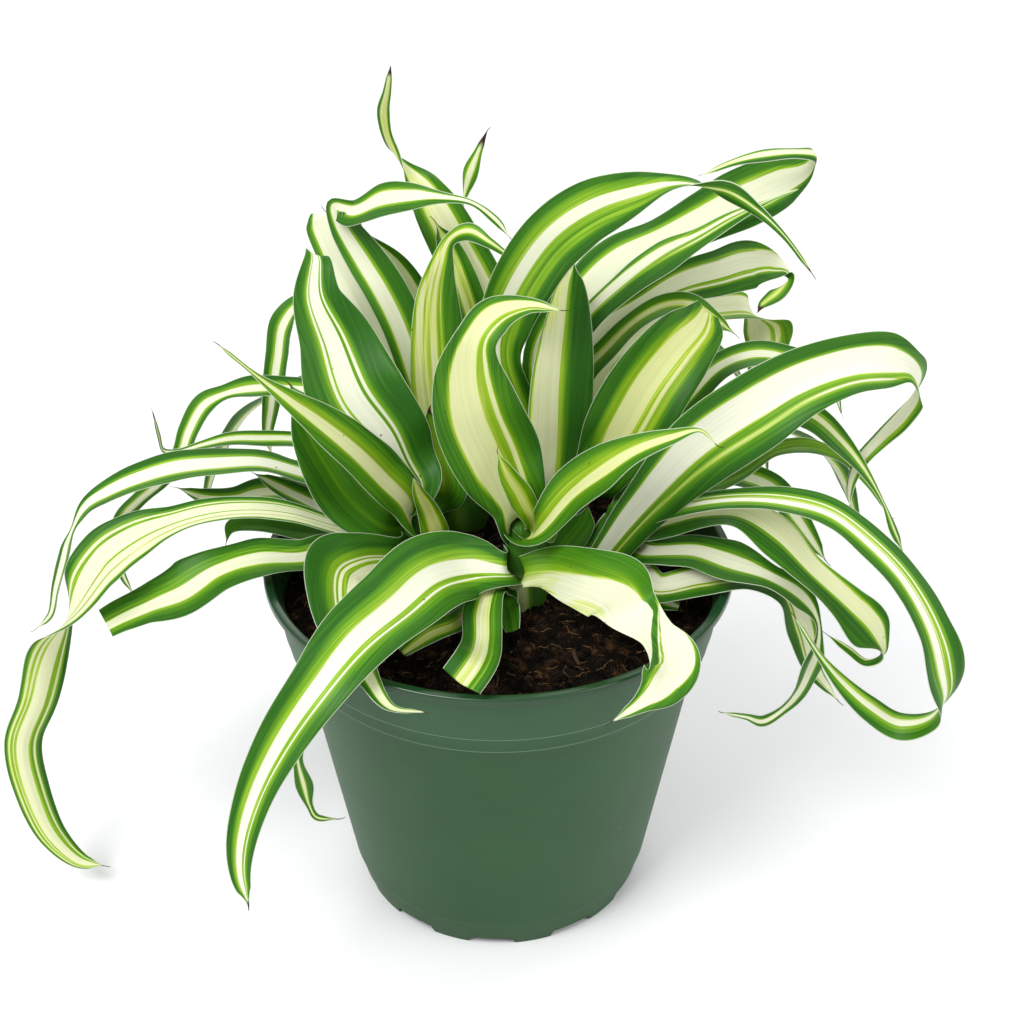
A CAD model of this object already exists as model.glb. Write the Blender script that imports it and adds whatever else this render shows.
"""A spider plant in a green nursery pot. Metres, +Z up, -Y towards the viewer."""

import math
from collections import namedtuple

import bpy
import numpy as np
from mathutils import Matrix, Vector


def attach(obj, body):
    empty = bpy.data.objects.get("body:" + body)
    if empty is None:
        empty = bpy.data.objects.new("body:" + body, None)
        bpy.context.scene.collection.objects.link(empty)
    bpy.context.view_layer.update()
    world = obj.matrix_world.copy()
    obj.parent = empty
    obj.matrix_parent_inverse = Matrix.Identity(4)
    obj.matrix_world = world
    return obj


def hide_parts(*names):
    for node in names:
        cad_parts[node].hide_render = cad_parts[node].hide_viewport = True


MM = 0.001

# Pot sizes in millimetres, as in the CAD model
POT_HEIGHT = 138
RIM_RADIUS = 82.5
LIP_HEIGHT = 3.2
LIP_WIDTH = 3.2
LIP_ROUND = 0.8
COLLAR_TOP_RADIUS = 79.4
COLLAR_LINE = (117, 77)
LEDGE = (111, 75.7)
SEAM_HEIGHT = 12
FOOT_RADIUS = 54
WALL = 1.8
WALL_RADIUS = 55
WALL_SLOPE = 0.162
BASE = 2
NOTCHES = 11
NOTCH_WIDTH = 15
NOTCH_HEIGHT = 3.4
NOTCH_SLOPE = 1.6
FIRST_NOTCH = -93
POT_SIDES = 264
POT_SHARP_ANGLE = 35

# Soil
SOIL_LEVEL = 124.5
SOIL_GAP = 0.3
SOIL_SIDES = 300
SOIL_RINGS = 110
SOIL_SEED = 11
CRUMB_NOISE = ((1, 0.8, 3.1), (2, 0.55, 1.4), (3, 0.5, 6.0))
CRUMBS = 5200
EDGE_MARGIN = 1.5
STRAND_MARGIN = 4
STRAND_SECTIONS = 7
STRAND_SIDES = 4
# Kinds of strand: name, count, range of length, range of half thickness, highest rise, flatness
STRANDS = (
    ("soil_fibres", 1100, (2, 7), (0.06, 0.13), 0.9, 1.0),
    ("soil_slivers", 50, (4, 10), (0.2, 0.4), 0.5, 3.0),
)

# Crowns: the short stems that the leaves grow from
CROWN_RADIUS = 10
CROWN_FOOT = 105
CROWN_SHOULDER = 127.5
CROWN_TOP = 155
CROWN_SIDES = 72
CROWN_RINGS = 26
RIB_START = 8
RIBS = 7
RIB_DEPTH = 0.2
CROWN_STRIPES = 3
STRIPE_START = 0.52
FRONT_PALENESS = 0.5
PALENESS = 0.2
TIER_RISE = 2.8
TIER_INSET = 0.7
CROWNS = {
    "front": (8, -6),
    "left": (-27, 14),
    "back_left": (-14, 42),
    "back_right": (24, 38),
    "right": (42, 6),
}

# Leaf blades. A fused leaf is one solid with its crown in the CAD model.
FUSED = ("leaf_front_inner", "leaf_front_soil_short", "leaf_left_inner", "leaf_right_soil_short")
BASE_OFFSET = 0.8
BASE_WIDTH = 16
FUSED_OFFSET = -2
FUSED_WIDTH = 11
STEPS = 10
COLUMN_GAP = 0.16
HALF_THICKNESS = 0.26
EDGE_THICKNESS = 0.1
THIN_BELOW = 6
CHANNEL = 0.14
CHANNEL_ONSET = 0.2
CHANNEL_FORM = 1.35
CLASP = 4
CLASP_END = 0.12
WAVE_LAG = 2.2
FULL_WAVE_WIDTH = 16
RIPPLE = 0.35
RIPPLE_SIZE = 9.0
FULL_RIPPLE_WIDTH = 14
TAPER_LENGTH = 5
TAPER_END = 0.25
THREAD_SECTIONS = 8
THREAD_BEND = 0.12
THREAD_START = 0.8
THREAD_END = 0.22
TRANSLUCENCY = 0.3

# Studio, in metres
FLOOR = [(-6, -6, 0), (6, -6, 0), (6, 8, 0), (-6, 8, 0)]
WORLD_STRENGTH = 0.66
LIGHT_AIM = (0, 0, 0.15)
# Lights: name, place, power, size
LIGHTS = (
    ("key", (-0.8, -0.8, 1.6), 30, 0.9),
    ("fill", (1.2, -0.6, 1.1), 12, 1.2),
    ("back", (0.2, 1.5, 1.4), 13, 1.4),
)
CAMERA_PLACE = (0.00468, -0.4696, 0.4508)
CAMERA_PITCH = 0.56242
CAMERA_LENS = 56.25
CAMERA_SENSOR = 36
CAMERA_CLIP = (0.05, 50)

# The bands of a blade are pairs of the place across, from -100 at its left edge to 100 at its right, and
# the depth of green there: 0 is the pale core, 10 fresh yellow green, 20 leaf green, 30 the dark margin.
# The first and the last one, at the edges, have no place.
SHARED_BANDS = {
    "plain": "30, -66 28, -50 15, -34 9, -30 0, 28 0, 33 9, 50 15, 66 28, 30",
    "dark": "29, -50 25, -10 21, 10 26, 60 24, 29",
}
# Each leaf is one paragraph of parts with | between them. The first part has its name without leaf_, its
# crown, the tier on it, the direction there in degrees, how high its margins wave, the number of waves,
# how yellow its core is, the length of the dry thread at its tip in millimetres, and how much of the
# blade's end is dry too. The last three have the values of LOOK where they are left out. The second part
# has the rows of its route: x, y, z, width and twist in degrees. The rest has its bands, which change
# along the leaf where there are more of them, each after its place along.
Leaf = namedtuple("Leaf", "name crown tier at rise waves tone thread brown rows bands")
LOOK = [0.1, 3, 1.2]
LEAVES = """
front_arch front 4 -130 0.9 3 0
| 2 -23 146 12 -18, -9 -25 149 23 -17, -21 -37 154 28 -1, -32 -54 154 27 8, -44 -70 152 24 7,
-55 -84 144 18.5 4, -66 -92 130 15.5 0, -74 -99 116 12.5 -4, -79 -105 101 9.5 -14, -80 -108 89 6.5 -31,
-78 -111 80 3 -36
| 30, -66 27, -60 20, -47 14, -41 9, -39 0, -35 0, -33 12, -21 10, -18 0, 24 0, 28 8, 48 13, 60 22, 67 30,
30

front_right_fold front 3.5 -70 1.4 2 0.12
| 9 -18 142 11 59, 17 -23 147 15 37, 27 -40 155 20.5 35, 38 -54 159 24 31, 42 -65 159 18 13,
49 -71 154 15 -21, 54 -75 147 19 3, 51 -78 140 15 27, 45 -80 135 6.5 38, 36 -84 131 1.5 38
| 0.15: 26, -86 22, -72 19, -57 20, -43 17, -28 16, -14 12, 6 9, 27 6, 48 4, 89 2, 5
| 0.3: 27, -90 24, -80 22, -71 22, -61 20, -46 19, -36 16, -16 11, -10 2, -2 1, 85 1, 4
| 0.46: 29, -95 28, -90 27, -85 26, -78 25, -72 24, -66 23, -60 20, -50 14, -42 1, -38 0, 2
| 0.51: 28, -99 27, -98 26, -97 26, -96 26, -94 26, -93 26, -91 26, -85 28, -65 26, -61 0, 0
| 0.545: 26, -99 6, -98 0, -96 0, -94 14, -92 1, -91 1, -90 16, -86 28, -68 26, -64 0, 0
| 0.65: 16, -98 8, -96 0, 1 0, 10 13, 27 1, 31 1, 36 18, 44 30, 96 28, 99 2, 0
| 0.71: 28, -86 22, -79 0, 29 0, 35 12, 44 5, 49 3, 56 18, 65 28, 96 28, 99 28, 28
| 0.78: 30, -63 24, -52 1, 41 0, 48 12, 52 9, 56 8, 63 18, 71 26, 97 28, 99 28, 28
| 0.86: 30, -57 22, -45 0, 47 0, 53 12, 58 9, 62 8, 68 18, 77 26, 97 28, 99 28, 28

front_tall_curl front 9 -210 1.2 2 0.5
| 7 -10 162 18 -52, 1 -13 181 29 -45, -6 -18 203 29.5 -55, -8 -18 219 23 -65, -6 -17 230 13.5 -78,
0 -13 236 13 -91, 10 -11 238 6 -88, 20 -12 237 1.5 -78
| 28, -69 24, -63 12, -56 1, 7 0, 13 9, 32 12, 36 1, 44 1, 50 16, 61 24, 29

front_right_mid front 7.5 -80 0.5 2 0.6
| 16 -20 164 11.5 126, 24 -22 177 15.5 119, 34 -26 188 15.5 114, 44 -28 196 10 107, 55 -29 201 5.5 110,
64 -30 204 1.5 128, 69 -32 200 1.5 130
| 0.3: 30, -77 24, -58 15, -35 11, -11 9, -6 1, 31 1, 37 12, 57 24, 28
| 0.7: 26, -74 22, -57 15, -44 11, -39 9, -35 0, 31 0, 38 12, 54 22, 26

front_inner front 7.5 -85 0.5 2 0.8
| 12 -9 153 6 175, 8 -14 169 9 201, 3 -18 181 6 203, 0 -20 190 1.5 202
| 22, -50 13, -20 4, 20 4, 50 13, 22

front_inner_right front 3.5 70 0.5 2 0.6
| 19 20 139 8 -51, 28 23 152 7 -50, 34 25 166 5 -52, 40 26 174 3 -54, 47 28 180 1.5 -55
| 26, -66 20, -45 10, -31 2, 17 1, 28 10, 51 18, 26

front_short_dark front 3 35 0.5 2
| 21 -1 139 8 2, 26 0 145 11 7, 30 1 151 8 12, 31 2 156 3 15
| dark

front_cut_stub front 2 -145 0.5 2 0.3 0 0
| -3 -27 141 11 52, -5 -40 141 13 66, -5 -52 139 13 62, -7 -74 146 14 38, -11 -81 144 14 34
| 30, -62 24, -56 10, -52 20, -39 22, -33 3, 31 3, 36 14, 40 6, 46 22, 60 30, 30

front_soil_left front 0 -150 0.5 2 0.5 0 0
| -7 -18 130 8 44, -14 -41 137 9 45, -22 -45 136 9 41, -31 -52 133 4 42
| 26, -52 18, -41 4, 20 3, 29 14, 38 3, 45 16, 65 26, 28

front_soil_short front 1.5 -115 0.5 2 0.1 0 0
| 3 -17 131 8 -175, 4 -29 132 8 -156, 5 -37 131 5 -161
| 29, -9 21, 11 26, 60 24, 29

left_tall left 9 -65 1.6 2.5 0 0 0
| -30 8 163 22 171, -38 8 181 29 174, -48 11 195 33 175, -55 20 211 26 180, -61 25 225 16.5 185,
-61 32 236 9 192, -63 38 235 6 211
| 30, -62 27, -50 16, -42 10, -39 0, -35 0, -33 13, -30 12, -28 0, 11 0, 14 15, 18 15, 20 1, 25 1, 28 13,
37 20, 44 30, 30

left_broad_dark left 4.5 -185 1.2 2
| -40 6 146 18 -1, -50 6 156 23.5 -9, -57 8 167 24 -11, -64 12 179 17 -13, -68 17 188 8 -12,
-72 23 192 3 -11
| dark

left_front_pointed left 4.5 -125 0.5 2 0.5
| -31 1 157 13.5 -100, -38 -3 170 17.5 -85, -46 -8 183 16 -84, -56 -13 196 13.5 -83, -66 -18 208 7.5 -82,
-76 -21 219 2 -82, -86 -24 231 1.5 -83
| 0.3: 26, -57 19, -41 12, -36 1, 17 0, 21 7, 49 12, 68 22, 27
| 0.75: 24, -46 18, -31 12, -24 1, 25 0, 31 7, 54 13, 72 21, 25

left_inner left 2 -70 0.5 2 0.8
| -22 0 144.5 10.5 0, -24 -2 155.5 8 0, -27 -5 165.5 4.5 0, -28.5 -8 173.5 1.5 0
| 24, -70 16, -49 3, 30 2, 50 13, 24

left_inner_dark left 9 40 0.5 2 0.3
| -20 12 157 18 42, -22 16 170 17 52, -24 18 184 7 52
| 28, -41 22, -16 15, 4 11, 29 18, 59 24, 28

left_over_rim left 2 -120 1.5 2 0.3
| -34 -7 141 13.5 -32, -45 -22 151 18 -19, -52 -33 154 24 -1, -52 -48 151 18.5 18, -47 -63 146 14.5 20,
-40 -76 141 7.5 11, -33 -86 138 5 1, -22 -92 141 1.5 10
| 0.5: 10, -71 6, -63 0, -37 0, -34 12, -21 10, -18 0, -10 0, -7 12, -3 11, -1 0, 4 0, 7 10, 25 14, 41 24,
54 30, 30
| 0.75: 28, -82 22, -69 13, -62 2, -54 1, -45 0, -36 0, -26 0, -17 0, -7 0, 3 0, 13 0, 24 3, 31 12, 46 22,
62 28, 30

left_long_fold left 2 -185 1.2 4 0.25
| -41 12 136 7.5 26, -58 8 144 9 34, -73 4 152 10 37, -86 0 156 11 40, -100 -4 157 14 40,
-113 -6 154 16.5 39, -125 -8 149 22.5 37, -136 -12 142 27 35, -146 -17 130 22.5 34, -157 -17 112 18.5 100,
-165 -20 88 14.5 140, -174 -20 67 13.5 140, -174 -21 46 13 134, -169 -23 25 10.5 129, -160 -25 14 6.5 124,
-151 -26 12 1.5 125
| 0.5: 30, -88 26, -79 9, -74 0, -44 0, -42 7, -36 6, -32 0, -3 0, 0 12, 4 11, 6 0, 52 0, 54 13, 60 12,
63 0, 68 0, 70 13, 78 18, 84 30, 30
| 0.66: 30, -89 26, -82 12, -76 2, -69 3, -65 11, -58 10, -52 1, -48 6, -45 8, -39 5, -33 0, 24 0, 30 11,
50 13, 56 2, 63 1, 67 12, 76 20, 82 30, 30

left_low_wavy left 0 -155 2 3 0.15 0 0
| -44 6 133 9 -22, -58 0 139 14 -15, -68 -7 140 14.5 -11, -82 -12 143 22.5 -12, -96 -16 141 19.5 -12,
-108 -20 135 23 -15, -120 -20 130 18.5 -18, -129 -21 126 14.5 -18, -135 -24 124 13.5 -17
| 0.5: 30, -61 27, -45 20, -27 17, -14 13, -7 3, -3 1, 39 1, 42 10, 48 18, 53 11, 60 22, 65 16, 73 28, 30
| 0.8: 30, -75 27, -63 20, -49 17, -38 13, -31 3, -26 1, 20 1, 23 10, 30 16, 38 13, 45 22, 52 20, 61 28, 30

left_low_dark left 0.5 170 0.5 2
| -45 15 131 9 37, -59 14 136 12 42, -73 10 141 12 43, -86 6 146 9 40, -94 4 146 6 32, -96 2 141 1.5 15
| dark

left_upper_arch back_left 2 -165 0.5 2 0
| -44 34 139 12 -9, -72 26 155 13.5 -9, -85 23 161 15 -4, -99 19 163 17.5 -2, -113 16 163 19 -2,
-127 13 160 17.5 -3, -137 9 157 14 -7, -145 8 152 8.5 -20, -151 7 143 2.5 -43, -156 5 130 10 -17,
-160 5 119 8 -17, -164 5 107 3.5 -28, -170 5 101 1.5 -20
| 0.35: 29, -51 25, -36 13, -20 8, -12 0, 51 0, 53 10, 62 14, 68 24, 75 30, 30
| 0.6: 29, -56 26, -29 16, -14 10, -5 0, 55 0, 59 10, 65 18, 69 26, 77 30, 30

left_back_low back_left 1 -170 0.5 2
| -61 35 136 11 -31, -73 32 143 12 -31, -87 28 146 12 -28, -96 25 145 11 -27, -106 22 147 8 -30,
-115 19 153 1.5 -33
| plain

left_back_short left 2.5 155 0.5 2
| -48 26 133 10 -142, -60 27 137 11 -142, -71 26 144 11 -142, -80 25 150 8 -143, -88 24 156 1.5 -144
| plain

left_back_arch back_left 4 170 0.5 2
| -57 51 171 11 -20, -68 53 174 12 -18, -79 54 175 12 -13, -91 52 176 12 -14, -101 49 175 10 -3,
-108 46 172 9 -31, -113 40 165 8 -40, -116 34 158 7 -40, -123 28 150 8 -21, -130 22 146 8 -16,
-136 17 141 7 -22, -139 13 130 6 -19, -137 12 119 4 -28, -134 11 112 1.5 -32
| plain

left_back_droop back_left 5 155 0.5 2
| -55 60 183 10 -29, -65 66 196 11 -19, -73 68 202 11 -6, -80 68 194 11 -39, -83 68 181 10 -56,
-85 67 171 9 -67, -87 66 160 7 -66, -89 65 148 4 -70, -88 64 141 1.5 -74
| plain

left_back_thin back_left 3 180 0.5 2 0.1 2 4
| -48 41 151 8 -18, -63 43 156 8 -13, -75 43 159 8 -9, -87 40 161 8 -8, -98 38 162 7 -7, -107 34 162 5 -6,
-116 31 161 3 -6, -121 30 162 3 -3, -122 30 168 2.5 -17, -123 30 178 1.5 -17
| 30, -48 28, -26 15, -6 9, -1 0, 47 0, 50 9, 63 15, 75 28, 30

left_front_hang left 1 -115 0.5 2 0.3
| -40 -22 142 9 3, -48 -44 145 10 16, -55 -64 142 9 13, -60 -71 129 8 3, -64 -73 116 7 -12,
-65 -72 105 3.5 -23, -64 -70 92 6 -29, -63 -69 82 2.5 -38, -61 -69 77 2.5 -56, -54 -70 77 1.5 -53
| 30, -37 26, -17 10, -11 1, 23 1, 29 10, 47 26, 30

back_left_white back_left 7 185 1.5 2.5 0.1 0 0
| -31 44 167 16 -84, -36 46 188 21 -87, -41 50 203 23 -86, -48 54 216 23 -85, -55 60 227 20 -85,
-61 67 237 16.5 -86, -63 70 237 9 -58
| 28, -85 22, -76 8, -70 0, 20 0, 25 9, 38 14, 50 24, 60 30, 30

back_left_hook back_left 8 175 1 3
| -28 42 184 14 -73, -34 46 204 15 -73, -40 50 216 15 -73, -47 55 226 14 -83, -54 59 236 11 -102,
-57 60 242 8 -138, -51 56 242 10 -172, -41 51 248 16 -181, -30 47 251 11.5 -180, -20 45 252 5 -180,
-9 43 251 2.5 -183, -1 40 246 3.5 -184, 4 37 241 1.5 -185
| 29, -75 24, -55 2, -51 0, 7 0, 12 9, 22 15, 33 27, 30

back_left_pointed back_left 7 120 0.5 2 0.3
| -25 56 193 10 -22, -30 60 209 10.5 -20, -37 63 220 8.5 -19, -47 67 228 3.5 -21, -55 70 232 1.5 -22,
-62 73 236 1.5 -21
| 27, -40 25, -28 12, -22 2, 36 2, 42 12, 52 25, 28

centre_left_upright back_left 7.5 -120 1 2 0.5
| -18 31 162 17 -140, -20 33 181 21 -141, -21 34 200 20 -142, -21 36 219 15 -144, -19 36 231 9.5 -159,
-16 37 240 5 -191, -10 34 244 7 -221, -3 30 242 4 -221, 4 28 238 2 -212, 12 27 234 1.5 -212
| 0.4: 16, -90 10, -80 2, -60 2, -54 7, -44 2, -30 7, -20 2, -5 3, 5 12, 15 6, 30 24, 50 28, 29
| 0.72: 28, -74 24, -61 14, -52 9, -45 1, -38 0, -29 0, -20 0, -11 1, -3 10, 10 14, 26 24, 43 28, 29

centre_back_upright back_right 6 170 0.5 2 0.4
| -3 44 180 10 -69, -7 46 197 13 -73, -10 48 209 13 -72, -14 51 221 12 -72, -18 55 231 8 -72,
-22 58 238 1.5 -72
| 28, -50 25, -30 4, 30 4, 40 14, 50 26, 28

tallest back_left 8 60 0.5 2 0.3 2 5
| 0 49 193 14 28, -6 53 213 19 35, -14 59 227 19 35, -21 64 239 17 35, -26 68 246 13 34, -33 70 254 7 93,
-38 68 264 4 179, -39 62 276 4.5 189, -37 56 285 3 183, -35 50 295 1.5 177
| 28, -75 24, -47 2, 43 1, 66 24, 30

back_slim_twist back_right 4.5 145 0.5 2 0.2 2 7
| -8 63 198 8 -49, -12 65 215 6 -51, -13 67 226 4 -33, -13 68 237 3 5, -12 70 244 4 64, -10 69 252 6 101,
-7 69 260 3 118, -4 69 267 1.5 118
| 28, -61 20, -41 11, -29 1, 30 1, 40 10, 64 22, 28

right_big_arch back_right 6.5 -135 0.5 2 0.05 3 3
| 1 30 198 14 -142, 3 26 216 18.5 -158, 8 21 231 21 -166, 18 15 249 22 -180, 30 9 261 21 -194,
44 1 270 15 -211, 56 -5 276 7 -247, 68 -7 275 9 -310, 79 -9 269 4 -339, 88 -10 261 2 -347,
97 -12 250 1.5 -346
| 0.6: 30, -78 28, -73 19, -61 13, -43 9, -40 0, -7 0, -3 9, 14 11, 23 18, 32 11, 50 14, 59 23, 69 30, 30
| 0.74: 30, -53 28, -34 24, -17 20, 8 14, 11 3, 31 3, 34 9, 40 16, 46 20, 52 24, 63 28, 74 28, 80 30, 30

upper_right_hook back_right 7 80 1.2 3 0.1 2 0
| 16 45 193 14 -5, 32 50 215 20 -17, 43 55 224 21 -21, 58 59 231 17 -20, 72 63 237 19 -19, 86 67 243 22 -18,
100 72 248 19 -18, 109 73 252 12 -40, 111 72 257 7 -54, 104 67 260 5 -48, 92 62 261 5 -52, 81 58 260 3 -49,
70 54 257 1.5 -48
| 0.3: 30, -73 27, -66 15, -55 9, -52 0, 27 0, 34 10, 49 22, 63 30, 30
| 0.5: 30, -65 27, -56 15, -45 9, -41 0, 48 0, 54 10, 63 22, 74 30, 30
| 0.62: 30, -67 27, -59 15, -48 9, -45 0, 50 0, 57 10, 67 22, 77 30, 30
| 0.7: 30, -80 28, -65 20, -55 12, -45 2, 24 2, 34 11, 44 20, 66 29, 30

upper_right_slim back_right 8 10 0.5 2
| 22 38 191 9.5 55, 31 40 208 9 41, 44 44 220 11 36, 58 50 228 13 36, 70 53 234 8 36, 82 57 240 5.5 37,
95 61 245 1.5 38, 105 64 248 1.5 38
| 0.4: 26, -87 22, -80 10, -73 1, -22 1, -18 12, -11 10, -8 16, 6 28, 51 30, 30
| 0.62: 24, -84 16, -67 10, -60 1, -33 1, -28 14, -10 13, -5 2, 16 12, 33 28, 30

right_fold_tip back_right 4 60 1.2 3 0.1 1 5
| 28 52 181 13 4, 38 56 196 16 -6, 52 60 205 13.5 -6, 66 65 211 16 -4, 80 68 214 17.5 -2, 93 72 216 19 1,
102 71 214 9.5 -7, 106 69 212 8 -85, 101 63 209 7 -163, 95 59 206 3.5 -175, 93 55 205 1.5 -175
| 0.54: 30, -77 28, -70 19, -61 11, -53 0, 11 0, 15 11, 28 12, 31 1, 39 1, 42 12, 52 22, 61 30, 30
| 0.62: 6, -98 3, -97 1, -96 0, -95 0, -22 0, -13 11, -2 12, 2 1, 10 1, 16 12, 30 22, 39 30, 30
| 0.69: 4, -98 2, -97 1, -96 0, -95 0, -88 0, -84 11, -68 12, -64 1, -56 1, -52 12, -44 22, -27 30, 30
| 0.76: 30, -82 28, -66 22, -53 14, -33 4, 18 3, 27 6, 34 10, 41 12, 49 16, 56 20, 66 24, 80 29, 30

right_back_slim back_right 3.5 10 0.5 2 0.4
| 29 44 181 9 43, 40 48 195 10 32, 50 51 204 10 27, 60 54 208 10 30, 69 54 208 9 45, 77 54 203 6 62,
85 54 197 1.5 63
| 26, -51 20, -42 6, -16 2, 2 3, 19 16, 26

right_broad_yellow back_right 0 -105 1.2 2 0.6 0 0
| 34 14 159 18 -179, 43 13 179 28 -178, 52 16 196 28 -179, 62 21 208 24.5 -179, 69 27 213 18 -177,
72 35 215 10 -174
| 30, -67 28, -59 19, -51 12, -39 9, -35 0, 18 0, 21 9, 30 10, 33 1, 39 1, 43 10, 57 13, 65 24, 73 30, 30

centre_pale back_right 8.5 -105 0.5 2 0.35
| 20 20 154 16 -133, 21 22 171 21.5 -143, 22 27 192 22 -143, 24 33 212 16.5 -143, 25 38 223 10 -143,
26 41 230 2 -143
| 0.35: 20, -96 12, -90 2, -3 1, 2 10, 16 14, 26 23, 36 30, 30
| 0.85: 20, -94 12, -85 2, -22 1, -17 10, -5 14, 9 23, 23 30, 30

right_mid_back right 5.5 50 0.5 2
| 57 26 171 10 11, 68 32 183 12 1, 79 38 192 12 -1, 92 43 194 12 6, 106 48 189 12 12, 117 50 183 12 12,
124 52 173 9 12, 127 53 165 4 12
| 30, -62 26, -51 14, -41 9, -37 1, 7 1, 14 10, 33 24, 30

far_right_droop back_right 1.5 30 0.5 2 0.2
| 41 60 181 10 25, 56 68 190 12 19, 71 75 195 14 18, 84 80 195 15 25, 94 82 194 16 19, 101 84 186 22.5 -35,
102 81 177 16 -58, 102 77 168 14 -60, 102 72 158 9 -60, 101 68 150 4 -60
| 19, -86 13, -72 0, 17 0, 23 7, 37 8, 43 2, 53 3, 62 11, 79 16, 20

right_large_arch right 7 -75 1 3 0
| 36 -9 142 16 72, 50 -9 163 18.5 55, 67 -12 187 25.5 45, 82 -15 202 26 41, 97 -13 212 22.5 38,
113 -10 217 19.5 38, 127 -5 216 18 39, 137 2 210 11.5 40, 142 8 199 16.5 33, 138 8 190 14.5 16,
131 8 180 10.5 8, 124 4 173 8 9, 121 1 165 4.5 8, 121 -2 158 1.5 4
| 0.1: 30, -77 26, -68 13, -61 0, 9 0, 17 11, 29 18, 36 4, 42 4, 49 16, 63 24, 78 30, 30
| 0.28: 30, -68 28, -60 12, -54 0, 20 0, 27 11, 39 16, 47 4, 52 4, 58 16, 71 24, 83 30, 30
| 0.5: 30, -62 28, -53 12, -46 0, 41 0, 48 11, 59 14, 66 5, 70 5, 75 14, 82 22, 89 30, 30
| 0.64: 28, -61 24, -44 12, -35 1, 55 1, 63 10, 70 14, 73 12, 77 14, 80 16, 86 22, 91 26, 28

right_under_arch right 7 15 0.5 2 0.35
| 67 9 163 10 2, 84 6 182 12 -3, 97 4 192 12 -5, 105 0 192 10.5 1, 115 -3 184 7.5 13, 124 -6 174 3.5 20,
131 -8 163 1.5 29, 135 -10 154 3 30, 139 -11 146 1.5 29
| 30, -66 26, -58 15, -44 10, -39 1, -6 1, -2 11, 12 22, 23 16, 39 28, 30

right_green_turn right 5.5 10 0.5 2 0.2
| 54 12 146 10 56, 71 9 159 13 43, 84 5 168 11.5 43, 95 7 175 9.5 43, 106 7 177 7.5 51, 118 8 172 3.5 75,
128 6 163 2.5 93, 137 4 151 1.5 96
| 24, -63 12, -48 18, -32 11, -16 16, 2 11, 37 19, 26

right_long_loop right 7 -50 0.9 4 0
| 46 -1 148 7 4, 62 -10 163 8 -5, 81 -16 170 10 -13, 96 -23 173 12.5 -17, 109 -27 171 12 -16,
122 -33 163 13 -13, 133 -39 153 14.5 -10, 142 -46 139 16 -8, 147 -50 125 18.5 -12, 150 -51 112 17.5 -28,
146 -49 102 11 -39, 137 -45 97 10.5 -57, 127 -42 102 9 -71, 118 -38 109 6 -74, 109 -36 120 2.5 -78,
100 -34 134 1.5 -80
| 0.6: 30, -65 29, -60 17, -49 12, -46 1, -42 1, -39 10, -29 12, -26 5, -20 9, -16 0, 13 0, 17 9, 32 14,
41 21, 50 16, 60 29, 30
| 0.72: 30, -82 29, -74 19, -64 13, -57 10, -52 9, -45 10, -40 10, -35 6, -30 3, -25 1, 13 1, 18 9, 30 14,
42 21, 51 18, 63 26, 30

right_pale_long right 5.5 -40 1.8 4 0.35
| 56 -4 151 10.5 53, 71 -9 159 10.5 47, 82 -13 161 11.5 40, 94 -19 156 15.5 39, 106 -24 145 14.5 40,
118 -29 135 14.5 40, 127 -34 127 17.5 35, 130 -38 122 8 3, 125 -37 118 5 -22, 119 -34 121 3.5 -31,
112 -31 125 1.5 -31
| 0.4: 15, -97 8, -93 2, -83 1, -4 1, 0 11, 10 16, 22 28, 30
| 0.6: 30, -80 26, -68 10, -63 1, -11 1, -7 11, 3 16, 14 28, 30

right_low_curl right 4 -35 1.2 4 0.12
| 51 -8 143 14 -33, 67 -12 146 16.5 -33, 79 -19 146 20 -35, 92 -23 143 10.5 -35, 104 -24 135 11 -26,
109 -28 128 3 -13, 109 -31 120 5 -11, 107 -33 112 11 -28, 104 -35 104 11 -26, 99 -36 97 5 -11,
92 -39 94 4.5 2, 85 -43 99 2.5 -2, 76 -47 104 1.5 -1
| 30, -65 28, -58 15, -54 20, -44 0, 11 0, 19 11, 31 20, 47 29, 30

right_low_back right 2 -60 0.5 2 0.15
| 54 -20 136 13 -22, 69 -21 140 14 -19, 85 -20 141 14 -19, 98 -21 136 13 -3, 105 -22 120 11 27,
110 -24 105 7 21, 119 -29 95 1.5 16
| 26, -87 16, -75 1, 0 0, 7 12, 18 2, 28 2, 34 16, 51 27, 30

right_back_hang right 4.5 10 0.5 2
| 68 16 153 9 45, 79 14 162 11 31, 87 10 163 11 22, 96 7 160 10 28, 104 3 151 9 37, 110 0 143 6 42,
115 -2 136 1.5 42
| plain

right_soil_short right 0.5 -70 0.5 2 0.1 0 0
| 51 -18 132 6 22, 56 -21 132 7 28, 62 -22 130 3 29
| 30, -70 28, -55 15, -41 9, -37 0, 19 0, 25 9, 43 15, 61 28, 30

back_far_left back_left 4 110 0.5 2
| -26 72 172 15 0, -40 100 180 18 0, -56 130 160 17 0, -66 152 122 12 0, -70 162 84 1.5 0
| plain

back_side_left back_left 2.5 140 0.5 2
| -38 64 158 14 0, -70 88 160 17 0, -102 106 138 15 0, -122 116 104 9 0, -130 120 78 1.5 0
| plain

back_middle back_right 3 105 0.5 2
| 18 72 185 15 0, 14 104 196 18 0, 8 138 178 17 0, 2 163 136 12 0, 0 172 98 1.5 0
| plain

back_far_right back_right 1.5 75 0.5 2
| 44 66 168 15 0, 68 94 174 18 0, 94 118 152 16 0, 112 132 114 10 0, 118 138 84 1.5 0
| plain

back_side_right right 2 40 0.5 2
| 66 34 152 14 0, 98 52 160 17 0, 128 66 138 14 0, 146 74 100 1.5 0
| plain
"""


def numbers(text):
    """The lists of numbers in a text that has commas between the lists."""
    return [[float(word) for word in part.split()] for part in text.split(",")]


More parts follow.
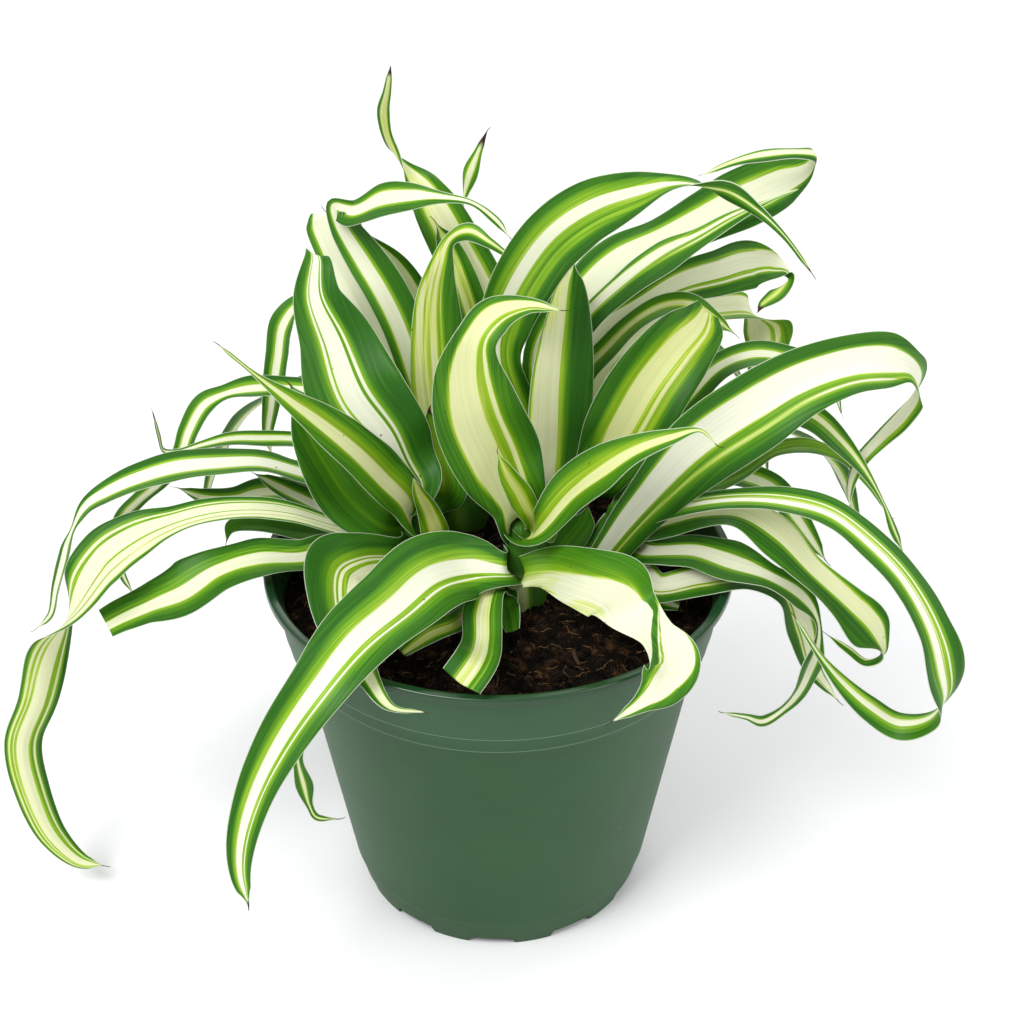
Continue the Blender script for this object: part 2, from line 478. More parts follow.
def read_leaf(paragraph):
    head, rows, *parts = paragraph.split("|")
    name, crown, *values = head.split()
    tier, at, rise, waves, *look = map(float, values)
    look += LOOK[len(look) :]
    bands = {}
    for part in parts:
        place, _, stops = part.rpartition(":")
        left, *middle, right = numbers(SHARED_BANDS.get(stops.strip(), stops))
        bands[float(place or 0)] = [[-100, *left], *middle, [100, *right]]
    return Leaf("leaf_" + name, crown, tier, at, rise, waves, *look, numbers(rows), bands)


def smooth_noise(x, y, seed, scale):
    """Value noise from -1 to 1 at places in millimetres, for lumps of about the given size."""
    size = 64
    cells = np.random.default_rng(seed).uniform(-1, 1, (size, size))
    u, v = x / scale, y / scale
    i, j = np.floor(u).astype(int), np.floor(v).astype(int)
    fu, fv = u - i, v - j
    fu, fv = fu * fu * (3 - 2 * fu), fv * fv * (3 - 2 * fv)
    at = lambda a, b: cells[a % size, b % size]
    low = at(i, j) * (1 - fu) + at(i + 1, j) * fu
    high = at(i, j + 1) * (1 - fu) + at(i + 1, j + 1) * fu
    return low * (1 - fv) + high * fv


def add_piece(name, points, faces, materials, slot, stands_for=None, slots=None):
    """A smooth-shaded piece from points in millimetres, riding on the one body."""
    mesh = bpy.data.meshes.new(name)
    mesh.from_pydata((np.asarray(points) * MM).tolist(), [], [list(map(int, f)) for f in faces])
    for material in materials:
        mesh.materials.append(material)
    mesh.polygons.foreach_set("use_smooth", [True] * len(mesh.polygons))
    if slots is not None:
        mesh.polygons.foreach_set("material_index", slots)
    mesh.update()
    piece = bpy.data.objects.new(name, mesh)
    bpy.context.scene.collection.objects.link(piece)
    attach(piece, "root")
    if stands_for:
        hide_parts(stands_for)
    return piece


def add_attribute(piece, name, values):
    piece.data.attributes.new(name, "FLOAT", "POINT").data.foreach_set("value", values)


class Shader:
    """Short names for the nodes of one material."""

    def __init__(self, name):
        self.material = bpy.data.materials.new(name)
        self.material.use_nodes = True
        self.tree = self.material.node_tree
        self.surface = self.tree.nodes["Principled BSDF"]

    def put(self, socket, value):
        """Links an output, or sets a value. A tuple is an sRGB colour."""
        if isinstance(value, bpy.types.NodeSocket):
            self.tree.links.new(value, socket)
        else:
            socket.default_value = paint(value) if isinstance(value, tuple) else value

    def add(self, kind, inputs=(), **settings):
        """A node with its settings and what goes into its inputs, in their order or by name or index."""
        node = self.tree.nodes.new(kind)
        for key, value in settings.items():
            setattr(node, key, value)
        for key, value in inputs.items() if isinstance(inputs, dict) else enumerate(inputs):
            self.put(node.inputs[key], value)
        return node

    def math(self, operation, *values):
        return self.add("ShaderNodeMath", values, operation=operation).outputs[0]

    def times(self, first, second):
        return self.math("MULTIPLY", first, second)

    def attribute(self, name):
        return self.add("ShaderNodeAttribute", attribute_name=name).outputs["Fac"]

    def place(self):
        """Object coordinates."""
        return self.add("ShaderNodeTexCoord").outputs["Object"]

    def height(self):
        return self.add("ShaderNodeSeparateXYZ", [self.place()]).outputs["Z"]

    def vector(self, x, y, z):
        return self.add("ShaderNodeCombineXYZ", (x, y, z)).outputs[0]

    def noise(self, vector, scale=1.0, detail=2.0, roughness=0.5):
        inputs = {"Vector": vector, "Scale": scale, "Detail": detail, "Roughness": roughness}
        return self.add("ShaderNodeTexNoise", inputs).outputs["Fac"]

    def spots(self, vector, scale, size):
        """1 inside small round spots, one to a cell of the given scale."""
        cells = self.add("ShaderNodeTexVoronoi", {"Vector": vector, "Scale": scale})
        return self.smooth(cells.outputs["Distance"], size, size * 0.6)

    def smooth(self, value, start, end, low=0.0, high=1.0):
        """Goes smoothly from low at start to high at end."""
        inputs = (value, start, end, low, high)
        return self.add("ShaderNodeMapRange", inputs, interpolation_type="SMOOTHSTEP").outputs[0]

    def ramp(self, value, stops):
        node = self.add("ShaderNodeValToRGB", [value])
        while len(node.color_ramp.elements) < len(stops):
            node.color_ramp.elements.new(0.5)
        for element, (position, colour) in zip(node.color_ramp.elements, stops):
            element.position = position
            element.color = paint(colour)
        return node.outputs[0]

    def mix(self, amount, first, second):
        return self.add("ShaderNodeMix", {0: amount, 6: first, 7: second}, data_type="RGBA").outputs[2]

    def bump(self, height, strength, distance):
        node = self.add("ShaderNodeBump", {"Strength": strength, "Distance": distance * MM, "Height": height})
        self.put(self.surface.inputs["Normal"], node.outputs[0])

    def finish(self, colour, roughness, specular=0.5):
        inputs = {"Base Color": colour, "Roughness": roughness, "Specular IOR Level": specular}
        for name, value in inputs.items():
            self.put(self.surface.inputs[name], value)
        return self.material


def paint(colour):
    """Scene-linear RGBA of an sRGB colour written as three numbers up to 255."""
    linear = [c / 255 / 12.92 if c <= 10 else ((c / 255 + 0.055) / 1.055) ** 2.4 for c in colour]
    return (*linear, 1.0)


def leaf_material():
    """Green bands and fine streaks round a pale core, set out from the attributes that each leaf carries."""
    s = Shader("leaf")
    across, along, half, green, seed, tone, under, brown, to_tip = map(
        s.attribute, ("across", "along", "half", "green", "seed", "tone", "under", "brown", "to_tip"))
    wide = s.times(across, half)

    def grain(across_scale, along_scale, detail=2.0, roughness=0.5):
        place = s.vector(s.times(wide, across_scale), s.times(along, along_scale), seed)
        return s.noise(place, 1.0, detail, roughness)

    streaks, veins, cloud = grain(0.8, 0.008, 4.0, 0.7), grain(2.4, 0.012), grain(0.1, 0.03)
    stretch = s.smooth(green, 0.0, 0.6, 0.3, 2.6)
    depth = s.math("ADD", green, s.times(s.math("SUBTRACT", streaks, 0.5), stretch))
    depth = s.math("ADD", depth, s.smooth(cloud, 0.3, 0.7, -0.12, 0.12))
    core = s.mix(tone, (243, 244, 226), (224, 228, 116))
    core = s.mix(s.times(under, 0.2), core, (214, 222, 150))
    share = s.times(depth, 0.25)
    old = s.ramp(share, [(0.09, (228, 236, 160)), (0.15, (190, 214, 92)), (0.25, (146, 192, 44)),
                         (0.4, (108, 164, 34)), (0.58, (76, 140, 26)), (0.78, (46, 106, 24))])
    young = s.ramp(share, [(0.09, (230, 236, 130)), (0.15, (202, 218, 70)), (0.25, (164, 196, 22)),
                           (0.4, (122, 170, 12)), (0.58, (80, 142, 14)), (0.78, (42, 102, 16))])
    colour = s.mix(s.smooth(depth, 0.18, 0.34), core, s.mix(tone, old, young))
    vein_strength = s.smooth(green, 0.0, 0.6, 0.12, 0.5)
    colour = s.mix(s.smooth(veins, 0.44, 0.62, 0.0, vein_strength), colour, s.mix(0.5, colour, (30, 80, 8)))
    edge = s.times(s.math("SUBTRACT", 1.0, s.math("ABSOLUTE", across)), half)
    colour = s.mix(s.smooth(edge, 0.26, 0.1, 0.0, 0.75), colour, (238, 246, 218))
    colour = s.mix(s.times(s.spots(s.place(), 80.0, 0.045), 0.7), colour, (92, 84, 40))
    colour = s.mix(s.smooth(to_tip, brown, s.times(brown, 0.6)), colour, (58, 38, 30))

    s.bump(veins, 0.2, 0.12)
    material = s.finish(colour, 0.45, 0.25)
    glow = s.add("ShaderNodeBsdfTranslucent", {"Color": colour})
    both = s.add("ShaderNodeMixShader", (TRANSLUCENCY, s.surface.outputs[0], glow.outputs[0]))
    s.put(s.tree.nodes["Material Output"].inputs["Surface"], both.outputs[0])
    return material


def crown_material():
    """Overlapping leaf bases: pale stripes with green between them, darker at the soil and green on top."""
    s = Shader("crown")
    turn, z = s.attribute("turn"), s.height()
    stripe = s.math("ADD", s.math("SINE", turn), s.noise(s.vector(s.times(turn, 2.0), z, 0.0), 1.0))
    colour = s.ramp(s.times(stripe, s.attribute("pale")), [
        (0.0, (40, 90, 16)), (0.3, (96, 146, 30)), (0.42, (190, 208, 96)), (0.6, (228, 232, 160))])
    colour = s.mix(s.smooth(z, 0.146, 0.126, 0.0, 0.75), colour, (38, 66, 18))
    colour = s.mix(s.smooth(z, 0.131, 0.139), colour, (54, 104, 24))
    return s.finish(colour, 0.45, 0.25)


def pot_material():
    """Matt green plastic with a fine grain and two pale mould lines under the collar."""
    s = Shader("pot_wall")
    vector, z = s.place(), s.height()
    colour = s.mix(s.smooth(s.noise(vector, 30.0, 3.0), 0.3, 0.7), (26, 69, 30), (29, 73, 33))
    colour = s.mix(s.smooth(z, 0.112, 0.1175, 0.0, 0.35), colour, (52, 88, 60))
    for height in (COLLAR_LINE[0], LEDGE[0]):
        away = s.math("ABSOLUTE", s.math("SUBTRACT", z, height * MM))
        colour = s.mix(s.smooth(away, 0.00045, 0.0002, 0.0, 0.5), colour, (120, 150, 122))
    colour = s.mix(s.times(s.spots(vector, 60.0, 0.018), 0.6), colour, (150, 176, 150))
    s.bump(s.noise(vector, 900.0, 2.0), 0.12, 0.2)
    return s.finish(colour, 0.5, 0.35)


def lip_material():
    s = Shader("pot_lip")
    colour = s.mix(s.smooth(s.noise(s.place(), 60.0), 0.3, 0.7), (18, 54, 25), (23, 60, 30))
    return s.finish(colour, 0.28, 0.5)


def soil_material():
    s = Shader("soil")
    vector = s.place()
    coarse, fine = s.noise(vector, 160.0, 4.0, 0.65), s.noise(vector, 700.0, 3.0, 0.6)
    colour = s.ramp(coarse, [(0.3, (5, 4, 2)), (0.48, (13, 9, 5)), (0.58, (34, 23, 13)), (0.72, (78, 54, 32))])
    colour = s.mix(s.smooth(fine, 0.5, 0.75, 0.0, 0.6), colour, (10, 7, 5))
    s.bump(fine, 0.8, 1.0)
    return s.finish(colour, 0.95, 0.08)


def plain_material(name, colour, roughness):
    return Shader(name).finish(colour, roughness, 0.25)


def spline_rows(rows):
    """Points on a centripetal Catmull-Rom curve through rows whose first three columns are a place."""
    rows = np.array(rows, float)
    padded = np.vstack([2 * rows[0] - rows[1], rows, 2 * rows[-1] - rows[-2]])
    out = []
    for i in range(len(rows) - 1):
        before, a, b, after = padded[i : i + 4]
        ends = ((before, a), (a, b), (b, after))
        d0, d1, d2 = (max(np.linalg.norm(q[:3] - p[:3]) ** 0.5, 1e-3) for p, q in ends)
        start = ((a - before) / d0 - (b - before) / (d0 + d1) + (b - a) / d1) * d1
        end = ((b - a) / d1 - (after - a) / (d1 + d2) + (after - b) / d2) * d1
        for t in np.arange(STEPS) / STEPS:
            out.append((2 * t**3 - 3 * t**2 + 1) * a + (t**3 - 2 * t**2 + t) * start
                       + (3 * t**2 - 2 * t**3) * b + (t**3 - t**2) * end)
    out.append(rows[-1])
    return np.array(out)


def unit(vectors):
    return vectors / np.linalg.norm(vectors, axis=-1, keepdims=True)


def carried_normals(points, tangents, first):
    """Normals that turn as little as they can along the route (the double reflection method)."""
    normals = [unit(first - tangents[0] * first.dot(tangents[0]))]
    for i in range(len(points) - 1):
        step = points[i + 1] - points[i]
        normal = normals[i] - step * (2 * normals[i].dot(step) / step.dot(step))
        turned_tangent = tangents[i] - step * (2 * tangents[i].dot(step) / step.dot(step))
        turn = tangents[i + 1] - turned_tangent
        if turn.dot(turn) > 1e-12:
            normal = normal - turn * (2 * normal.dot(turn) / turn.dot(turn))
        normals.append(normal)
    return np.array(normals)


def leaf_base(leaf):
    """The leaf's first row, on its crown, and the way outwards there."""
    angle = math.radians(leaf.at)
    out = np.array([math.cos(angle), math.sin(angle), 0.0])
    offset, width = (FUSED_OFFSET, FUSED_WIDTH) if leaf.name in FUSED else (BASE_OFFSET, BASE_WIDTH)
    radius = CROWN_RADIUS - TIER_INSET * leaf.tier + offset
    x, y = CROWNS[leaf.crown]
    return [x + out[0] * radius, y + out[1] * radius, CROWN_SHOULDER + TIER_RISE * leaf.tier, width, 0], out


def banded(bands, along):
    """The columns of a blade: their places across, one row to a section, and their depths of green."""
    stops = np.array(list(bands.values()))
    read = lambda table: np.stack([np.interp(along, list(bands), column) for column in table.T], axis=1)
    spots, depths = read(stops[..., 0]) / 100, read(stops[..., 1]) / 10
    columns, greens = [spots[:, :1]], [depths[:, :1]]
    for k in range(spots.shape[1] - 1):
        parts = math.ceil((spots[:, k + 1] - spots[:, k]).max() / COLUMN_GAP)
        for part in range(1, parts + 1):
            share = part / parts
            columns.append(spots[:, k : k + 1] * (1 - share) + spots[:, k + 1 : k + 2] * share)
            greens.append(depths[:, k : k + 1] * (1 - share) + depths[:, k + 1 : k + 2] * share)
    return np.hstack(columns), np.hstack(greens)


def leaf_sections(leaf, number):
    """What the blade is at each place along its route, with the heights of its left and right edge."""
    base, out = leaf_base(leaf)
    rows = spline_rows([base, *leaf.rows])
    points = rows[:, :3]
    last = len(points) - 1
    place = np.arange(last + 1)
    tangents = unit(points[np.minimum(place + 1, last)] - points[np.maximum(place - 1, 0)])
    normals = carried_normals(points, tangents, -out)
    twist = np.radians(rows[:, 4:])
    normals = normals * np.cos(twist) + np.cross(tangents, normals) * np.sin(twist)

    along = place / last
    width = np.maximum(rows[:, 3], 1)
    channel = width * CHANNEL * np.minimum(along / CHANNEL_ONSET, 1) / 2
    level = channel + CLASP * np.maximum(1 - along / CLASP_END, 0)
    wave = leaf.rise * np.minimum(width / FULL_WAVE_WIDTH, 1) * np.sin(math.pi * along)
    phase = 2 * math.pi * leaf.waves * along
    sections = {
        "points": points,
        "normals": normals,
        "sides": unit(np.cross(tangents, normals)),
        "along": along,
        "length": np.concatenate([[0], np.cumsum(np.linalg.norm(np.diff(points, axis=0), axis=1))]),
        "width": width,
        "channel": channel,
        "left": level + wave * np.sin(phase),
        "right": level + wave * np.sin(phase + WAVE_LAG),
    }
    if leaf.thread:
        add_thread(sections, tangents[-1], leaf.thread, number)
    return sections


def add_thread(sections, ahead, reach, number):
    """Narrows the tip and lets a thin curling thread of the given length follow it."""
    length, width = sections["length"], sections["width"]
    near_tip = np.clip((length[-1] - length) / TAPER_LENGTH, 0, 1)
    sections["width"] = width = width * (TAPER_END + (1 - TAPER_END) * near_tip)
    bend = np.random.default_rng(number).uniform(-THREAD_BEND, THREAD_BEND, 2)
    place, points = sections["points"][-1], []
    for _ in range(THREAD_SECTIONS):
        ahead = unit(ahead + sections["sides"][-1] * bend[0] + sections["normals"][-1] * bend[1])
        place = place + ahead * reach / THREAD_SECTIONS
        points.append(place)
    flat = np.zeros(THREAD_SECTIONS)
    added = {
        "points": points,
        "length": length[-1] + reach * np.arange(1, THREAD_SECTIONS + 1) / THREAD_SECTIONS,
        "width": np.linspace(width[-1] * THREAD_START, THREAD_END, THREAD_SECTIONS),
        "channel": flat,
        "left": flat,
        "right": flat,
    }
    for name, values in sections.items():
        more = added.get(name, np.repeat(values[-1:], THREAD_SECTIONS, axis=0))
        sections[name] = np.concatenate([values, more])


def tube_faces(start, sections, size):
    """The faces round equal rings of points that follow each other, with both ends closed."""
    faces = []
    last = start + (sections - 1) * size
    for near in range(start, last, size):
        far = near + size
        faces += [(near + k, near + (k + 1) % size, far + (k + 1) % size, far + k) for k in range(size)]
    return faces + [[start + k for k in range(size)][::-1], [last + k for k in range(size)]]


def add_leaf(leaf, number, material):
    """A thin blade with a channel and waved margins, closed all round."""
    sections = leaf_sections(leaf, number)
    points, normals, sides, width, channel, length, left, right = (
        sections[name][:, None]
        for name in ("points", "normals", "sides", "width", "channel", "length", "left", "right"))
    across, green = banded(leaf.bands, sections["along"])
    away = np.abs(across)
    lift = (np.where(across < 0, left, right) + channel) * away**CHANNEL_FORM - channel
    # The noise is read at another place for each side of each leaf
    ripple = smooth_noise(length + 40 * np.sign(across), away * 3 + number * 7.3, number, RIPPLE_SIZE)
    lift = lift + RIPPLE * ripple * away**3 * np.minimum(width / FULL_RIPPLE_WIDTH, 1)
    middle = points + sides * (across * width / 2)[..., None] + normals * lift[..., None]
    thick = EDGE_THICKNESS + (HALF_THICKNESS - EDGE_THICKNESS) * (1 - across**2)
    offset = normals * (thick * np.minimum(width / THIN_BELOW, 1))[..., None]
    rings = np.concatenate([middle + offset, (middle - offset)[:, ::-1]], axis=1)
    count, size = rings.shape[:2]

    slot, node = ("crown", "crown_" + leaf.crown) if leaf.name in FUSED else ("leaf", leaf.name)
    piece = add_piece(leaf.name, rings.reshape(-1, 3), tube_faces(0, count, size), [material], slot, node)
    both_faces = lambda table: np.concatenate([table, table[:, ::-1]], axis=1)
    for name, values in {
        "across": both_faces(across),
        "green": both_faces(green),
        "under": np.repeat([0.0, 1.0], size // 2),
        "along": length,
        "half": width / 2,
        "to_tip": length[-1] - length,
        "seed": 3.7 * number,
        "tone": leaf.tone,
        "brown": leaf.brown + leaf.thread,
    }.items():
        add_attribute(piece, name, np.broadcast_to(values, (count, size)).ravel())


def turned(profile_rows, sides):
    """Points and faces of a profile of (radius, height) turned about Z. Ends on the axis are closed."""
    angles = np.arange(sides) * 2 * math.pi / sides
    points, rings = [], []
    for radius, height in profile_rows:
        if radius == 0:
            rings.append([len(points)])
            points.append((0, 0, height))
        else:
            rings.append(list(range(len(points), len(points) + sides)))
            points += [(radius * math.cos(a), radius * math.sin(a), height) for a in angles]
    faces = []
    for low, high in zip(rings, rings[1:]):
        for k in range(sides):
            after = (k + 1) % sides
            if len(low) == 1:
                faces.append((low[0], high[after], high[k]))
            elif len(high) == 1:
                faces.append((low[k], low[after], high[0]))
            else:
                faces.append((low[k], low[after], high[after], high[k]))
    return np.array(points, float), faces


def wall_radius(height):
    return WALL_RADIUS + WALL_SLOPE * height


def pot_profile():
    """The wall from the middle of the base, up the outside, over the lip and down the inside."""
    seam, ledge = wall_radius(SEAM_HEIGHT), wall_radius(LEDGE[0])
    rows = [(0, 0), (FOOT_RADIUS - 0.8, 0), (FOOT_RADIUS - 0.25, 0.2), (FOOT_RADIUS, 0.8),
            (seam - 0.45, SEAM_HEIGHT - 0.5), (seam - 0.15, SEAM_HEIGHT - 0.35), (seam, SEAM_HEIGHT)]
    rows += [(wall_radius(h), h) for h in (14, 30, 50, 70, 90, 105)]
    rows += [(ledge - 0.2, LEDGE[0] - 1.2), (ledge, LEDGE[0] - 0.8), (LEDGE[1] - 0.4, LEDGE[0] - 0.3),
             (LEDGE[1], LEDGE[0]), (LEDGE[1] + 0.1, LEDGE[0] + 0.4),
             (COLLAR_LINE[1] - 0.45, COLLAR_LINE[0] - 0.4), (COLLAR_LINE[1], COLLAR_LINE[0]),
             (COLLAR_LINE[1] + 0.1, COLLAR_LINE[0] + 0.4)]
    lip, inner, middle = POT_HEIGHT - LIP_HEIGHT, RIM_RADIUS - LIP_WIDTH, POT_HEIGHT - LIP_ROUND
    rows += [(COLLAR_TOP_RADIUS - 0.3, lip - 2.4), (COLLAR_TOP_RADIUS, lip - 0.8),
             (COLLAR_TOP_RADIUS + 0.8, lip - 0.2), (RIM_RADIUS - 0.5, lip), (RIM_RADIUS, lip + 0.5)]
    quarter = (0, 0.5, 1.05, 1.57)
    rows += [(RIM_RADIUS - LIP_ROUND * (1 - math.cos(a)), middle + LIP_ROUND * math.sin(a)) for a in quarter]
    rows += [(inner + LIP_ROUND * (1 - math.sin(a)), middle + LIP_ROUND * math.cos(a)) for a in quarter]
    rows += [(COLLAR_TOP_RADIUS - WALL, lip - 1), (LEDGE[1] - WALL, LEDGE[0] + 1),
             (ledge - WALL, LEDGE[0] - 1), (wall_radius(BASE) - WALL, BASE), (0, BASE)]
    return rows


def notch_blocks():
    """Points and faces of the blocks with sloping sides that are cut out of the foot."""
    half = NOTCH_WIDTH / 2
    outline = [(-half - NOTCH_SLOPE, -1), (half + NOTCH_SLOPE, -1), (half, NOTCH_HEIGHT), (-half, NOTCH_HEIGHT)]
    points, faces = [], []
    for i in range(NOTCHES):
        angle = math.radians(FIRST_NOTCH + 360 * i / NOTCHES)
        out, along = (math.cos(angle), math.sin(angle)), (-math.sin(angle), math.cos(angle))
        faces += tube_faces(len(points), 2, len(outline))
        for radius in (FOOT_RADIUS - 9, FOOT_RADIUS + 3):
            points += [(out[0] * radius + along[0] * w, out[1] * radius + along[1] * w, h) for w, h in outline]
    return points, faces


def add_pot():
    points, faces = turned(pot_profile(), POT_SIDES)
    heights = points[:, 2]
    inside = np.hypot(points[:, 0], points[:, 1]) < wall_radius(heights) - WALL / 2
    lip = (heights > POT_HEIGHT - LIP_HEIGHT + 0.2) | inside
    is_lip = [int(all(lip[v] for v in face) and min(heights[v] for v in face) > 30) for face in faces]
    pot = add_piece("pot_shell", points, faces, [pot_material(), lip_material()], "pot", "pot", is_lip)
    blocks = add_piece("notch_blocks", *notch_blocks(), [], "pot")
    cut = pot.modifiers.new("notches", "BOOLEAN")
    cut.operation = "DIFFERENCE"
    cut.solver = "EXACT"
    cut.object = blocks
    bpy.context.view_layer.update()
    depsgraph = bpy.context.evaluated_depsgraph_get()
    pot_with_notches = bpy.data.meshes.new_from_object(pot.evaluated_get(depsgraph))
    pot.modifiers.clear()
    pot.data = pot_with_notches
    bpy.data.objects.remove(blocks)
    pot_with_notches.set_sharp_from_angle(angle=math.radians(POT_SHARP_ANGLE))


def soil_height(x, y):
    """The soil's surface: the CAD model's low heaps, with crumbs on them."""
    broad = np.sin(0.11 * x + 1) * np.sin(0.13 * y + 0.4)
    lumps = np.sin(0.31 * x + 0.22 * y) + np.sin(0.27 * y - 0.35 * x + 2)
    crumbs = sum(height * smooth_noise(x, y, seed, size) for seed, height, size in CRUMB_NOISE)
    return SOIL_LEVEL + 0.7 * broad + 0.35 * lumps + crumbs


def soil_edge():
    """The soil's radius at its surface."""
    low, high = (LEDGE[0] + 1, LEDGE[1] - WALL), (POT_HEIGHT - LIP_HEIGHT - 1, COLLAR_TOP_RADIUS - WALL)
    part = (SOIL_LEVEL - low[0]) / (high[0] - low[0])
    return low[1] + part * (high[1] - low[1]) - SOIL_GAP


def add_soil(material):
    inset = WALL + SOIL_GAP
    side = [(0, BASE + SOIL_GAP), (wall_radius(BASE) - inset, BASE + SOIL_GAP),
            (wall_radius(LEDGE[0]) - inset, LEDGE[0] - 1), (LEDGE[1] - inset, LEDGE[0] + 1)]
    rings = [(soil_edge() * (1 - k / SOIL_RINGS), SOIL_LEVEL) for k in range(SOIL_RINGS)]
    points, faces = turned(side + rings + [(0, SOIL_LEVEL)], SOIL_SIDES)
    top = points[:, 2] > SOIL_LEVEL - 1
    points[top, 2] = soil_height(points[top, 0], points[top, 1])
    add_piece("soil_bed", points, faces, [material], "soil", "soil")


def scattered(rng, margin):
    """A random place on the soil, at least the margin away from its edge."""
    radius, angle = (soil_edge() - margin) * math.sqrt(rng.uniform()), rng.uniform(0, 2 * math.pi)
    return np.array([radius * math.cos(angle), radius * math.sin(angle)])


def add_crumbs(material, rng):
    """Loose lumps of peat on the surface."""
    corners = np.array([(1, 0, 0), (0, 1, 0), (-1, 0, 0), (0, -1, 0), (0, 0, 1), (0, 0, -1)], float)
    sides = [(0, 1, 4), (1, 2, 4), (2, 3, 4), (3, 0, 4), (1, 0, 5), (2, 1, 5), (3, 2, 5), (0, 3, 5)]
    points, faces = [], []
    for _ in range(CRUMBS):
        x, y = scattered(rng, EDGE_MARGIN)
        size = rng.uniform(0.35, 1.3) * rng.uniform(0.7, 1.3, 3)
        start = len(points) * len(corners)
        jitter = corners * size * rng.uniform(0.7, 1.2, (6, 1)) + rng.uniform(-0.15, 0.15, (6, 3))
        points.append(jitter + (x, y, soil_height(x, y) + 0.1))
        faces += [[start + v for v in side] for side in sides]
    add_piece("soil_crumbs", np.vstack(points), faces, [material], "soil")


def add_strands(name, count, length, thickness, lift, flat, materials, rng):
    """Curly fibres or, with a high flat, slivers of wood, lying on the soil."""
    points, faces, slots = [], [], []
    limit = soil_edge() - EDGE_MARGIN
    for number in range(count):
        place = scattered(rng, STRAND_MARGIN)
        reach, thick = rng.uniform(*length), rng.uniform(*thickness)
        heading, bend = rng.uniform(0, 2 * math.pi), rng.normal(0, 0.35)
        rise = rng.uniform(0, lift)
        strand_faces = tube_faces(len(points), STRAND_SECTIONS, STRAND_SIDES)
        faces += strand_faces
        slots += [number % len(materials)] * len(strand_faces)
        for step in range(STRAND_SECTIONS):
            heading += bend / flat
            ahead = np.array([math.cos(heading), math.sin(heading)])
            place = place + ahead * reach / STRAND_SECTIONS
            if np.hypot(*place) > limit:
                place *= limit / np.hypot(*place)
            height = soil_height(*place) + rise * math.sin(math.pi * step / (STRAND_SECTIONS - 1))
            side = np.array([-ahead[1], ahead[0]])
            taper = thick * (0.5 + 0.5 * math.sin(math.pi * (step + 0.5) / STRAND_SECTIONS))
            for k in range(STRAND_SIDES):
                turn = 2 * math.pi * (k + 0.5) / STRAND_SIDES
                across = side * math.cos(turn) * taper * flat
                points.append((*(place + across), height + 0.2 + math.sin(turn) * taper))
    add_piece(name, points, faces, materials, "soil", None, slots)


def add_crown(name, centre, material):
    """A stem of overlapping leaf bases, with ribs and furrows."""
    rows = [(0, CROWN_FOOT), (CROWN_RADIUS, CROWN_FOOT)]
    start = CROWN_SHOULDER - RIB_START
    for height in np.linspace(start, CROWN_TOP - 2, CROWN_RINGS):
        tier = max(0, (height - CROWN_SHOULDER) / TIER_RISE)
        rows.append((CROWN_RADIUS - TIER_INSET * tier, height))
    rows += [(rows[-1][0] * 0.6, CROWN_TOP - 0.6), (0, CROWN_TOP)]
    points, faces = turned(rows, CROWN_SIDES)
    angle = np.arctan2(points[:, 1], points[:, 0])
    above = np.clip((points[:, 2] - start) / 4, 0, 1)
    ribs = RIB_DEPTH * (np.sin(RIBS * angle + 0.25 * points[:, 2]) - 1)
    points[:, :2] *= (1 + above * ribs / np.maximum(np.hypot(points[:, 0], points[:, 1]), 1))[:, None]
    points[:, :2] += centre
    piece = add_piece("crown_" + name + "_stem", points, faces, [material], "crown", "crown_" + name)
    add_attribute(piece, "turn", CROWN_STRIPES * angle + STRIPE_START)
    add_attribute(piece, "pale", np.full(len(points), FRONT_PALENESS if name == "front" else PALENESS))


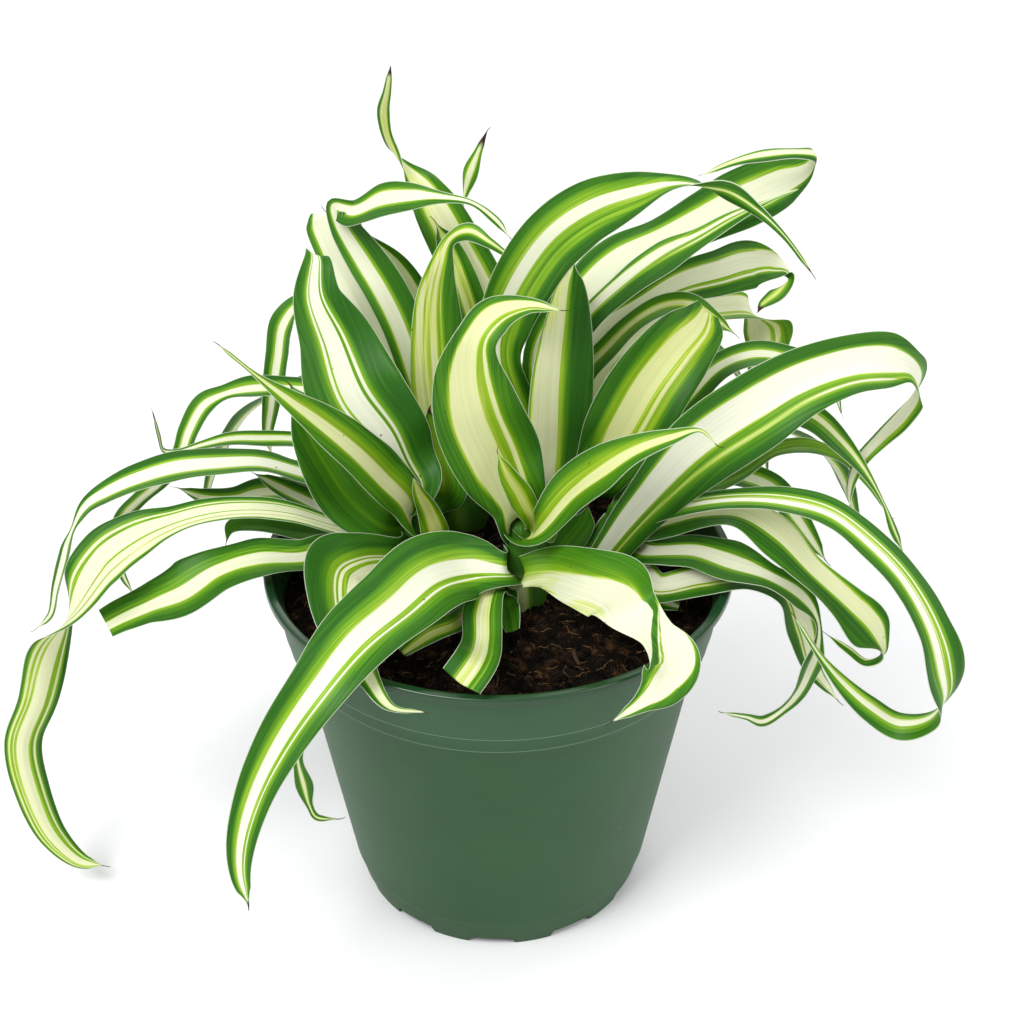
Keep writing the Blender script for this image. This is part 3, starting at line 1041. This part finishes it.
def add_stage():
    """A plain pale floor, soft boxes and the camera at the photograph's viewing angle."""
    scene = bpy.context.scene
    floor_mesh = bpy.data.meshes.new("floor")
    floor_mesh.from_pydata(FLOOR, [], [(0, 1, 2, 3)])
    floor_mesh.materials.append(plain_material("floor", (232, 232, 234), 0.6))
    floor = bpy.data.objects.new("floor", floor_mesh)
    scene.collection.objects.link(floor)

    scene.world = bpy.data.worlds.new("studio")
    scene.world.use_nodes = True
    background = scene.world.node_tree.nodes["Background"]
    background.inputs["Color"].default_value = (1, 1, 1, 1)
    background.inputs["Strength"].default_value = WORLD_STRENGTH

    for name, place, power, size in LIGHTS:
        light = bpy.data.lights.new(name, "AREA")
        light.energy = power
        light.size = size
        lamp = bpy.data.objects.new(name, light)
        lamp.location = place
        lamp.rotation_mode = "QUATERNION"
        lamp.rotation_quaternion = (Vector(LIGHT_AIM) - Vector(place)).to_track_quat("-Z", "Y")
        scene.collection.objects.link(lamp)

    data = bpy.data.cameras.new("camera")
    data.sensor_width = CAMERA_SENSOR
    data.lens = CAMERA_LENS
    data.clip_start, data.clip_end = CAMERA_CLIP
    camera = bpy.data.objects.new("camera", data)
    camera.location = CAMERA_PLACE
    camera.rotation_euler = (math.radians(90) - CAMERA_PITCH, 0, 0)
    scene.collection.objects.link(camera)
    scene.camera = camera
    scene.view_settings.view_transform = "Standard"


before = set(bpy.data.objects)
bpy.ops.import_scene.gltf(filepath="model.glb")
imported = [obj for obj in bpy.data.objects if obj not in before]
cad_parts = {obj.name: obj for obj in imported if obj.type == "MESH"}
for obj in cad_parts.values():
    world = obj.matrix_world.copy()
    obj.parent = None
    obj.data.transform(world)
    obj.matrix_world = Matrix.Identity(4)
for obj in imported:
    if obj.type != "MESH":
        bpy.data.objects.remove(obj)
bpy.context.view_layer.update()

add_pot()
soil = soil_material()
add_soil(soil)
random = np.random.default_rng(SOIL_SEED)
add_crumbs(soil, random)
fibres = [plain_material("fibre_tan", (118, 86, 54), 0.8), plain_material("fibre_red", (58, 38, 24), 0.8),
          plain_material("fibre_dark", (24, 16, 10), 0.8)]
for strand_kind in STRANDS:
    add_strands(*strand_kind, fibres, random)
for crown_name, crown_centre in CROWNS.items():
    add_crown(crown_name, crown_centre, crown_material())
blade = leaf_material()
for leaf_number, leaf_text in enumerate(LEAVES.split("\n\n")):
    add_leaf(read_leaf(leaf_text), leaf_number, blade)
add_stage()
